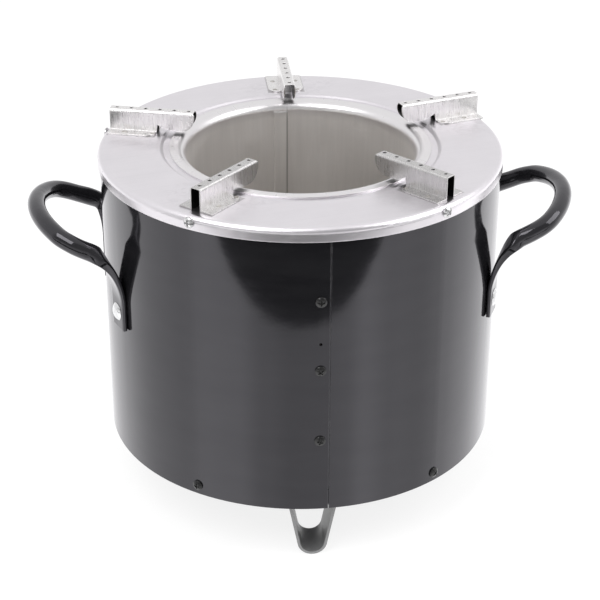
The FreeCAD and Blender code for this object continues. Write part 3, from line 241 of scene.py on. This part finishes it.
def gloss_enamel(name, base=0.0078, rough=0.1, edge=0.0006, peel=1.0, creased=False, seam=None):
    """Black gloss. base is its grey, edge its corner radius, peel the surface's waviness."""
    mat, g = material(name)
    orange = g.noise(g.here, scale=420.0, detail=2.0, rough=0.45)
    wave = g.noise(g.here, scale=26.0, detail=2.0)
    dust = g.remap(g.cells(g.here, scale=650.0), span=(0.0, 0.12), to=(1.0, 0.0))
    scarce = g.remap(g.noise(g.here, scale=90.0, detail=2.0), span=(0.58, 0.7))
    specks = g.times(dust, scarce)
    smear = g.noise(g.mapped(g.here, scale=(3.0, 3.0, 14.0), rotate=(0.3, 0.2, 0.0)),
                    scale=6.0, detail=4.0, rough=0.6)
    dark = g.mix(g.remap(smear, span=(0.35, 0.7)), (base, base, base * 1.12),
                 over=(base * 1.5, base * 1.5, base * 1.62))
    colour = g.mix(specks, dark, over=(0.09, 0.09, 0.09), share=0.35)
    # the film thins to a worn grey at sharp edges
    worn = g.times(g.remap(g.flatness(edge * 2.4), span=(0.97, 0.8)),
                   g.remap(g.noise(g.here, scale=160.0), span=(0.5, 0.66)))
    colour = g.mix(worn, colour, over=(0.055, 0.052, 0.05), share=0.5)
    # painted highlight along the shell's lap
    if seam is not None:
        colour = seam_highlight(g, colour, seam)
    scuff = g.noise(g.mapped(g.here, scale=(1, 1, 5)), scale=40.0, detail=5.0, rough=0.62)
    scuff = g.remap(scuff, span=(0.55, 0.8))
    roughness = g.add(rough, g.add(g.times(scuff, 0.06), worn, share=0.25))
    normal = g.bump(wave, strength=0.16 * peel, distance=0.0008, normal=g.bevel(edge))
    normal = g.bump(orange, strength=0.06 * peel, distance=0.00018, normal=normal)
    if creased:
        creases = g.noise(g.mapped(g.here, rotate=(0.5, 0.3, 0.9)),
                          scale=75.0, detail=2.0, rough=0.4, distortion=0.6)
        normal = g.bump(creases, strength=0.3, distance=0.0011, normal=normal)
    g.surface(Base_Color=colour, Roughness=roughness, Normal=normal, Coat_Weight=0.35,
              Coat_Roughness=0.03, IOR=1.5, Specular_Tint=(0.94, 0.915, 1.0),
              Coat_Tint=(0.96, 0.94, 1.0))
    return mat


# ------------------------------------------------------------------ metals
def rub_marks(g, paint, roughness, spots, colour):
    """Darker rubbed patches around the given spots."""
    reach = None
    for spot in spots:
        distance = g.vec("DISTANCE", g.here, spot)
        reach = distance if reach is None else g.math("MINIMUM", reach, distance)
    near = g.remap(reach, span=(0.034, 0.014), smooth=True)
    patches = g.noise(g.here, scale=120.0, detail=4.0, rough=0.65, distortion=1.2)
    rub = g.times(near, g.remap(patches, span=(0.45, 0.68)))
    paint = g.mix(rub, paint, over=scaled(colour, 0.6), share=0.2)
    return paint, g.add(roughness, rub, share=0.12)


def hollow_shade(g, paint, turned, hollow):
    """Painted shade that keeps the channel's inside dark. hollow is its middle across and its
    top height.
    """
    middle, top = hollow
    _, y, z = g.parts(turned)
    inside_shade = g.remap(g.offset(y, middle), span=(0.0037, 0.00355))
    inside_shade = g.times(inside_shade, g.remap(z, span=(top, top - 0.0002)))
    return g.mix(inside_shade, paint, over=(0.07, 0.068, 0.066), share=0.9)


def foot_shadow(g, paint, heading, middle, half):
    """A painted shadow: a dark outline around a foot plate, given by its heading, middle and
    half sizes.
    """
    local = g.mapped(g.here, rotate=(0, 0, -heading), shift=(-middle[0], -middle[1], 0.0))
    x, y, _ = g.parts(local)
    past = g.math("MAXIMUM", g.minus(g.math("ABSOLUTE", x), half[0]),
                  g.minus(g.math("ABSOLUTE", y), half[1]))
    painted_shadow = g.remap(past, span=(0.0011, 0.0001), to=(0.0, 0.5))
    return g.mix(painted_shadow, paint, over=(0.22, 0.215, 0.21))


def sheet_metal(name, colour, rough, heading, mottle, spread=0.1, grain=(30.0, 900.0, 900.0),
                depth=0.00012, edge=0.0004, dents=0.0005, metal=1.0,
                smudges=(), feet=(), hollow=None):
    """Rolled sheet: fine lines along one direction, cloudy tone, handling marks.

    grain is the lines' noise scale along and across the heading, depth and dents the bump
    heights, spread the lines' swing in roughness and mottle their swing in tone.
    """
    mat, g = material(name)
    turned = g.mapped(g.here, rotate=(0, 0, -heading))
    lines = g.noise(g.mapped(turned, scale=grain), detail=4.0, rough=0.65)
    broad = g.noise(g.mapped(turned, scale=scaled(grain, 0.22)), rough=0.55)
    cloud = g.noise(g.here, scale=22.0, detail=4.0, rough=0.6)
    prints = g.remap(g.noise(g.here, scale=85.0, detail=5.0, rough=0.7, distortion=0.8),
                     span=(0.52, 0.72))
    tone = g.add(g.times(g.remap(lines, span=(0.3, 0.7)), 0.55),
                 g.remap(broad, span=(0.3, 0.7)), share=0.45)
    paint = g.mix(tone, scaled(colour, 1 - mottle),
                  over=scaled(colour, 1 + mottle * 0.6, limit=1.0))
    paint = g.mix(g.remap(cloud, span=(0.4, 0.75)), paint, over=scaled(colour, 0.86), share=0.35)
    roughness = g.add(rough, g.centred(lines), share=spread)
    roughness = g.add(roughness, prints, share=0.06)
    if smudges:
        paint, roughness = rub_marks(g, paint, roughness, smudges, colour)
    # painted shade inside a support's channel
    if hollow:
        paint = hollow_shade(g, paint, turned, hollow)
    # painted shadow around each foot plate standing on this sheet
    for foot in feet:
        paint = foot_shadow(g, paint, *foot)
    normal = g.bump(lines, strength=0.5, distance=depth, normal=g.bevel(edge))
    normal = g.bump(cloud, strength=0.25, distance=dents, normal=normal)
    g.surface(Base_Color=paint, Roughness=roughness, Metallic=metal, Normal=normal)
    return mat


CHAMBER_COLOUR = (0.935, 0.91, 0.89)
CHAMBER_ARC = 0.085                  # radius that turns a bearing into an arc length
LAP = math.radians(91.2)             # bearing of the chamber's lap, at the back


def chamber_lap(g, paint, angle, radius, z):
    """Soot and shade in the line of the lap and on its upper end."""
    facing_up = g.parts(g.normal())[2]
    lap = g.minus(angle, LAP)
    line = g.remap(g.math("ABSOLUTE", lap), span=(0.011, 0.004), smooth=True)
    paint = g.mix(line, paint, over=(0.24, 0.23, 0.22), share=0.55)
    over = g.times(g.remap(g.offset(lap, 0.061), span=(0.085, 0.075)),
                   g.remap(radius, span=(0.0862, 0.0858)))
    over = g.times(over, g.times(g.remap(z, span=(0.2500, 0.2510)),
                                 g.remap(facing_up, span=(0.5, 0.8))))
    return g.mix(over, paint, over=(0.16, 0.155, 0.15), share=0.85)


def chamber_metal(name):
    """Rolled chamber sheet: upright streaks, duller and warmer than the ring."""
    mat, g = material(name)
    x, y, z = g.parts(g.here)
    angle = g.math("ARCTAN2", y, x)
    radius = g.math("SQRT", g.add(g.times(x, x), g.times(y, y)))
    wrap = g.node("CombineXYZ", X=g.times(angle, CHAMBER_ARC), Y=radius, Z=z).outputs[0]
    streak = g.noise(g.mapped(wrap, scale=(420.0, 60.0, 22.0)), detail=5.0, rough=0.62)
    bands = g.noise(g.mapped(wrap, scale=(60.0, 8.0, 5.0)))
    grain = g.noise(g.mapped(wrap, scale=(2600.0, 600.0, 160.0)), detail=2.0, rough=0.6)
    fog = g.noise(g.here, scale=34.0, detail=4.0, rough=0.6)
    paint = g.mix(g.remap(streak, span=(0.34, 0.7)), scaled(CHAMBER_COLOUR, 0.97),
                  over=scaled(CHAMBER_COLOUR, 1.02, limit=0.96))
    paint = g.mix(g.remap(bands, span=(0.4, 0.7)), paint,
                  over=scaled(CHAMBER_COLOUR, 0.92), share=0.22)
    paint = chamber_lap(g, paint, angle, radius, z)
    # the lip is cleaner and smoother; painted shade darkens the depths
    lip = g.remap(z, span=(0.258, 0.268))
    paint = g.mix(lip, paint, over=(0.80, 0.782, 0.80), share=0.9)
    deep_shade = g.remap(z, span=(0.24, 0.12), smooth=True)
    paint = g.mix(deep_shade, paint, over=(0.50, 0.475, 0.45), share=0.4)
    roughness = g.add(0.45, g.centred(streak), share=0.12)
    roughness = g.minus(roughness, g.times(lip, 0.16))
    roughness = g.add(roughness, g.remap(fog, span=(0.45, 0.7)), share=0.05)
    normal = g.bump(grain, strength=0.25, distance=0.00006, normal=g.bevel(0.0006))
    normal = g.bump(bands, strength=0.15, distance=0.0004, normal=normal)
    g.surface(Base_Color=paint, Roughness=roughness, Metallic=1.0, Normal=normal)
    return mat


FASTENER_EDGE = 0.0003


def fastener_metal(name, colour, rough, metal=1.0, dull=(0.35, 0.34, 0.33), cover=0.35):
    """Plated head: light pitting, grime of colour dull in patches and around the rim."""
    mat, g = material(name)
    pits = g.cells(g.here, scale=1500.0)
    fine = g.noise(g.here, scale=900.0, detail=4.0, rough=0.6)
    soil = g.remap(g.noise(g.here, scale=260.0, rough=0.6), span=(0.5, 0.7))
    rim = g.remap(g.flatness(FASTENER_EDGE * 3), span=(0.99, 0.86))
    paint = g.mix(g.math("MAXIMUM", soil, rim), colour, over=dull, share=cover)
    roughness = g.add(rough, g.add(g.times(fine, 0.1), soil, share=0.12))
    normal = g.bump(pits, strength=0.12, distance=0.0001, normal=g.bevel(FASTENER_EDGE))
    normal = g.bump(fine, strength=0.15, distance=0.00008, normal=normal)
    g.surface(Base_Color=paint, Roughness=roughness, Metallic=metal, Normal=normal)
    return mat


def fibre(name, colour=(0.80, 0.76, 0.68)):
    """Compressed ceramic fibre: matt, tufted, slightly yellowed."""
    mat, g = material(name)
    # two sets of strands that cross: noise scale and turn of each
    strands = [g.noise(g.mapped(g.here, scale=scale, rotate=turn),
                       detail=5.0, rough=0.7, distortion=1.5)
               for scale, turn in (((500.0, 120.0, 500.0), (0.4, 0.7, 0.2)),
                                   ((120.0, 520.0, 420.0), (0.1, 0.3, 0.8)))]
    lump = g.noise(g.here, scale=45.0, detail=4.0, rough=0.6)
    both = g.math("MAXIMUM", *strands)
    paint = g.mix(g.remap(both, span=(0.35, 0.75)), scaled(colour, 0.82), over=colour)
    paint = g.mix(g.remap(lump, span=(0.45, 0.7)), paint, over=(0.66, 0.58, 0.47), share=0.4)
    normal = g.bump(both, strength=0.6, distance=0.0006)
    normal = g.bump(lump, strength=0.5, distance=0.0015, normal=normal)
    g.surface(Base_Color=paint, Roughness=0.95, Normal=normal, Sheen_Weight=0.2)
    return mat


def weld_metal(name):
    """Spot weld: bright metal with burnt patches."""
    mat, g = material(name)
    burn = g.noise(g.here, scale=420.0, detail=4.0, rough=0.65)
    paint = g.mix(g.remap(burn, span=(0.4, 0.65)), (0.62, 0.60, 0.58), over=(0.33, 0.31, 0.29))
    g.surface(Base_Color=paint, Metallic=1.0,
              Roughness=g.remap(burn, span=(0.3, 0.7), to=(0.28, 0.46)),
              Normal=g.bump(burn, strength=0.5, distance=0.00012))
    return mat


# ------------------------------------------------------------------ where the supports stand
SOLE_DEPTH = 0.0004                                # lowest layer of a support, its foot plate
SMUDGE_PLACES = ((-0.004, 0.014), (0.012, -0.015))  # in a support's own frame


class Support:
    """A pot support's own frame, measured from its mesh: x points outward, y across."""

    def __init__(self, name):
        self.name = name
        points = [v.co for v in nodes[name].data.vertices]
        lowest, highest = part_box(name)
        self.low, self.high = lowest.z, highest.z
        # the heading is the long axis of the plan, turned away from the stove's axis
        mid = sum((Vector((p.x, p.y)) for p in points), Vector((0, 0))) / len(points)
        xx = sum((p.x - mid.x) ** 2 for p in points)
        yy = sum((p.y - mid.y) ** 2 for p in points)
        xy = sum((p.x - mid.x) * (p.y - mid.y) for p in points)
        heading = 0.5 * math.atan2(2 * xy, xx - yy)
        middle = Vector(((lowest.x + highest.x) / 2, (lowest.y + highest.y) / 2))
        if Vector((math.cos(heading), math.sin(heading))).dot(middle) < 0:
            heading += math.pi
        self.heading = heading
        self.centre, _ = self.plan(points)
        sole = [p for p in points if p.z < self.low + SOLE_DEPTH]
        self.foot = (heading, *self.plan(sole))

    def plan(self, points):
        """Middle and half sizes of the points' box, turned to the heading."""
        cos, sin = math.cos(self.heading), math.sin(self.heading)
        along = [p.x * cos + p.y * sin for p in points]
        across = [-p.x * sin + p.y * cos for p in points]
        return (tuple((min(row) + max(row)) / 2 for row in (along, across)),
                tuple((max(row) - min(row)) / 2 for row in (along, across)))

    def place(self, x, y, z):
        """The stove's coordinates of a point given from the support's middle."""
        u, v = self.centre[0] + x, self.centre[1] + y
        cos, sin = math.cos(self.heading), math.sin(self.heading)
        return Vector((u * cos - v * sin, u * sin + v * cos, z))


supports = [Support(name) for name in sorted(nodes) if name.startswith("pot_support_")]
ring_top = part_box("top_ring")[1].z
smudge_spots = [tuple(support.place(x, y, ring_top))
                for support in supports for x, y in SMUDGE_PLACES]

# ------------------------------------------------------------------ materials on the parts
ACROSS = math.pi / 2                 # heading of grain that runs along Y
DULL_STEEL = dict(spread=0.12, heading=1.1, grain=(60.0, 900.0, 900.0), mottle=0.16)
finish = {}


def cover(mat, *parts):
    finish.update(dict.fromkeys(parts, mat))


cover(gloss_enamel("enamel", seam=SHELL_SEAM), "outer_shell")
cover(gloss_enamel("enamel_small"), "base_pan", "fuel_mouth_frame")
cover(gloss_enamel("handle_enamel", base=0.0075, rough=0.085, edge=0.0004, peel=1.4,
                   creased=True),
      "handle_left", "handle_right")
cover(sheet_metal("ring_stainless", colour=(0.81, 0.782, 0.818), rough=0.3, spread=0.05,
                  heading=0.25, grain=(14.0, 1500.0, 1500.0), depth=0.00002, edge=0.0007,
                  mottle=0.03, dents=0.0002, smudges=smudge_spots,
                  feet=[support.foot for support in supports]),
      "top_ring")
cover(chamber_metal("chamber_stainless"), "combustion_chamber")
cover(sheet_metal("tunnel_steel", colour=(0.55, 0.53, 0.5), rough=0.36, heading=ACROSS,
                  mottle=0.16),
      "fuel_tunnel")
cover(sheet_metal("floor_steel", colour=(0.40, 0.37, 0.33), rough=0.42, heading=0.6,
                  mottle=0.25),
      "chamber_floor")
cover(sheet_metal("plain_steel", colour=(0.33, 0.33, 0.335), rough=0.42, **DULL_STEEL),
      "shelf_rail_left", "shelf_rail_right")
cover(sheet_metal("leg_steel", colour=(0.27, 0.27, 0.272), rough=0.5, metal=0.5, **DULL_STEEL),
      "leg_front", "leg_rear_left", "leg_rear_right")
cover(sheet_metal("shelf_steel", colour=(0.47, 0.465, 0.46), rough=0.32, heading=ACROSS,
                  grain=(25.0, 1100.0, 1100.0), mottle=0.14),
      "fuel_shelf")
cover(fastener_metal("screw_bright", colour=(0.74, 0.74, 0.75), rough=0.15,
                     dull=(0.2, 0.195, 0.19), cover=0.65),
      "ring_screws", "mouth_screws")
cover(fastener_metal("screw_black", colour=(0.006, 0.006, 0.0065), rough=0.16, metal=0.0,
                     dull=(0.03, 0.029, 0.028), cover=0.5),
      "seam_screws", "base_screws")
cover(fastener_metal("rivet_bright", colour=(0.80, 0.80, 0.81), rough=0.2,
                     dull=(0.4, 0.4, 0.4)),
      "leg_rivets", "handle_rivets")
cover(fastener_metal("washer_steel", colour=(0.55, 0.55, 0.56), rough=0.3), "rivet_washers")
cover(fibre("insulation"), "base_insulation", "insulation_sleeve")
for support in supports:
    # painted shade: the front supports get a darker copy of the same steel
    tone = 0.72 if "front" in support.name else 1.0
    cover(sheet_metal(support.name + "_steel", colour=scaled((0.85, 0.835, 0.835), tone),
                      rough=0.28, spread=0.2, heading=support.heading,
                      grain=(1300.0, 500.0, 45.0), depth=0.00016, edge=0.0005, mottle=0.14,
                      dents=0.0003, hollow=(support.centre[1], support.high - 0.0008)),
          support.name)

for name, obj in nodes.items():
    obj.data.materials.clear()
    obj.data.materials.append(finish[name])

# ------------------------------------------------------------------ spot welds on the feet
WELD_RADIUS = 0.0019
WELD_SIDES = 24
WELD_ALONG = (-0.0005, 0.0195)       # places in a support's own frame
WELD_ACROSS = (-0.0093, 0.0093)
FOOT_THICKNESS = 0.001
# share of the radius, height above the foot plate; from the middle outward
WELD_PROFILE = [(0.0, 0.00002), (0.35, 0.00001), (0.62, 0.00006), (0.8, 0.00014),
                (0.92, 0.00013), (1.0, 0.00003), (1.0, -0.00006)]


def weld_spot(bm, centre, seed):
    """A shallow dished nugget with a raised rim, slightly out of round."""
    rng = random.Random(seed)
    squeeze = rng.uniform(0.9, 1.1)
    turn = rng.uniform(0, math.pi)
    loops = []
    for share, lift in WELD_PROFILE[1:]:
        loop = []
        for k in range(WELD_SIDES):
            angle = 2 * math.pi * k / WELD_SIDES
            radius = WELD_RADIUS * share * (1 + 0.05 * math.sin(3 * angle + seed))
            x = radius * math.cos(angle) * squeeze
            y = radius * math.sin(angle) / squeeze
            offset = Vector((x * math.cos(turn) - y * math.sin(turn),
                             x * math.sin(turn) + y * math.cos(turn), lift))
            loop.append(bm.verts.new(centre + offset))
        loops.append(loop)
    top = bm.verts.new(centre + Vector((0, 0, WELD_PROFILE[0][1])))
    bottom = bm.verts.new(centre + Vector((0, 0, WELD_PROFILE[-1][1])))
    for k in range(WELD_SIDES):
        m = (k + 1) % WELD_SIDES
        bm.faces.new((top, loops[0][k], loops[0][m]))
        for inner, outer in zip(loops, loops[1:]):
            bm.faces.new((inner[k], outer[k], outer[m], inner[m]))
        bm.faces.new((loops[-1][k], bottom, loops[-1][m]))


def add_welds():
    bm = bmesh.new()
    spots = [(support, x, y) for support in supports for x in WELD_ALONG for y in WELD_ACROSS]
    for seed, (support, x, y) in enumerate(spots, start=4):
        rng = random.Random(seed * 7)
        x += rng.uniform(-0.0012, 0.0012)
        y += rng.uniform(-0.0006, 0.0006)
        weld_spot(bm, support.place(x, y, support.low + FOOT_THICKNESS), seed)
    welds = add_mesh("support_spot_welds", bm)
    for polygon in welds.data.polygons:
        polygon.use_smooth = True
    welds.data.materials.append(weld_metal("weld_metal"))
    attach(welds, "body")


add_welds()

# ------------------------------------------------------------------ floor and surroundings
# degrees from the camera's side, positive to the right; brightness
SURROUND = [(-180, 1.0), (-125, 1.18), (-95, 1.06), (-75, 1.08), (-54, 1.42), (-37, 1.42),
            (-20, 1.04), (-4, 0.87), (14, 0.9), (26, 1.15), (38, 1.48), (56, 1.14),
            (76, 0.97), (107, 1.3), (135, 1.35), (180, 1.0)]
SURROUND_SCALE = 2.5                 # keeps the ramp's colours below 1
SURROUND_GAIN = 2.66                 # brings the ramp back up to brightness
TENT_GAIN = 1.0                      # strength of everything the tent reflects


def surround(g, direction):
    """How bright the studio is along a direction, by its bearing from the camera's side."""
    front = g.vec("DOT_PRODUCT", direction, tuple(-level))
    right = g.vec("DOT_PRODUCT", direction, tuple(side))
    turns = g.math("DIVIDE", g.math("ARCTAN2", right, front), 2 * math.pi)
    ramp = g.node("ValToRGB", Fac=g.add(turns, 0.5))
    ramp.color_ramp.interpolation = "EASE"
    elements = ramp.color_ramp.elements
    elements.remove(elements[-1])
    for i, (bearing, value) in enumerate(SURROUND):
        position = (bearing + 180) / 360.0
        element = elements[0] if i == 0 else elements.new(position)
        element.position = position
        element.color = (*[value / SURROUND_SCALE] * 3, 1.0)
    return g.times(ramp.outputs[0], SURROUND_GAIN)


def floor_material():
    """Grey and self-lit to plain light; reflections see the studio's brightness instead."""
    mat = bpy.data.materials.new("studio_floor")
    mat.use_nodes = True
    g = Graph(mat.node_tree)
    out = g.node("OutputMaterial")
    path = g.node("LightPath")
    geometry = g.node("NewGeometry")
    position = geometry.outputs["Position"]
    grain = g.noise(position, scale=60.0)
    matt = g.node("BsdfDiffuse", Color=g.mix(grain, (0.20, 0.20, 0.20), over=(0.22, 0.22, 0.22)))
    lift = g.node("Emission", Strength=0.82)
    plain = g.node("AddShader")
    g.put(plain.inputs[0], matt.outputs[0])
    g.put(plain.inputs[1], lift.outputs[0])
    toward = g.node("VectorMath")
    toward.operation = "SCALE"
    g.put(toward.inputs[0], geometry.outputs["Incoming"])
    g.put(toward.inputs["Scale"], -1.0)
    # a strip of floor on the camera's side reflects almost black
    depth = g.vec("DOT_PRODUCT", position, tuple(-level))
    strip = g.times(g.remap(depth, span=(0.495, 0.525), smooth=True),
                    g.remap(depth, span=(1.5, 1.0), smooth=True))
    bright = g.times(surround(g, toward.outputs["Vector"]),
                     g.remap(strip, span=(0, 1), to=(1.0, 0.02)))
    seen = g.node("Emission", Strength=bright)
    above = g.mix_shader(path.outputs["Is Glossy Ray"], plain.outputs[0], seen.outputs[0])
    clear = g.node("BsdfTransparent")
    both = g.mix_shader(geometry.outputs["Backfacing"], above, clear.outputs[0])
    g.put(out.inputs["Surface"], both)
    return mat


def add_floor():
    bm = bmesh.new()
    bmesh.ops.create_grid(bm, x_segments=2, y_segments=2, size=6.0)
    floor = add_mesh("floor", bm)
    floor.data.materials.append(floor_material())


def add_world():
    """White to the camera, soft to plain light, a light tent to reflections."""
    world = bpy.data.worlds.new("studio")
    world.use_nodes = True
    scene.world = world
    g = Graph(world.node_tree)
    out = g.node("OutputWorld")
    path = g.node("LightPath").outputs
    direction = g.node("TexCoord").outputs["Generated"]
    height = g.parts(direction)[2]
    around = surround(g, direction)
    # the tent's back and top are even, its front opening is darker
    front = g.vec("DOT_PRODUCT", direction, tuple(-level))
    opening = g.times(g.remap(front, span=(0.1, 0.5), smooth=True),
                      g.remap(height, span=(0.97, 0.85), smooth=True))
    tent = g.times(g.remap(height, span=(0.0, 0.5), to=(1.05, 1.12)),
                   g.remap(opening, span=(0, 1), to=(1.0, 0.4)))
    # the surround near the horizon gives way to the tent higher up
    high = g.remap(height, span=(0.0, 0.3), smooth=True)
    strength = g.add(g.times(g.minus(1.0, high), around), g.times(high, tent))

    def background(grey, strength):
        return g.node("Background", Color=(grey,) * 3, Strength=strength).outputs[0]

    unseen = g.mix_shader(path["Is Glossy Ray"], background(grey=1.0, strength=0.95),
                          background(grey=0.8, strength=g.times(strength, TENT_GAIN)))
    seen = g.mix_shader(path["Is Camera Ray"], unseen, background(grey=1.0, strength=1.0))
    g.put(out.inputs["Surface"], seen)


add_floor()
add_world()

# ------------------------------------------------------------------ lights
LIGHT_TARGET = (0, 0, 0.2)


def area(name, place, size, power):
    """A square area light aimed at the stove."""
    data = bpy.data.lights.new(name, "AREA")
    data.shape = "RECTANGLE"
    data.size = data.size_y = size
    data.energy = power
    light = add_object(name, data)
    light.location = place
    light.rotation_mode = "QUATERNION"
    aim = Vector(LIGHT_TARGET) - Vector(place)
    light.rotation_quaternion = aim.to_track_quat("-Z", "Y")


area("key", place=(-0.7, -0.7, 1.5), size=1.0, power=13.0)
area("fill", place=(1.0, -0.3, 1.1), size=0.9, power=7.0)

scene.view_settings.view_transform = "Standard"
scene.view_settings.look = "None"
scene.view_settings.exposure = 0.0
scene.view_settings.gamma = 1.0
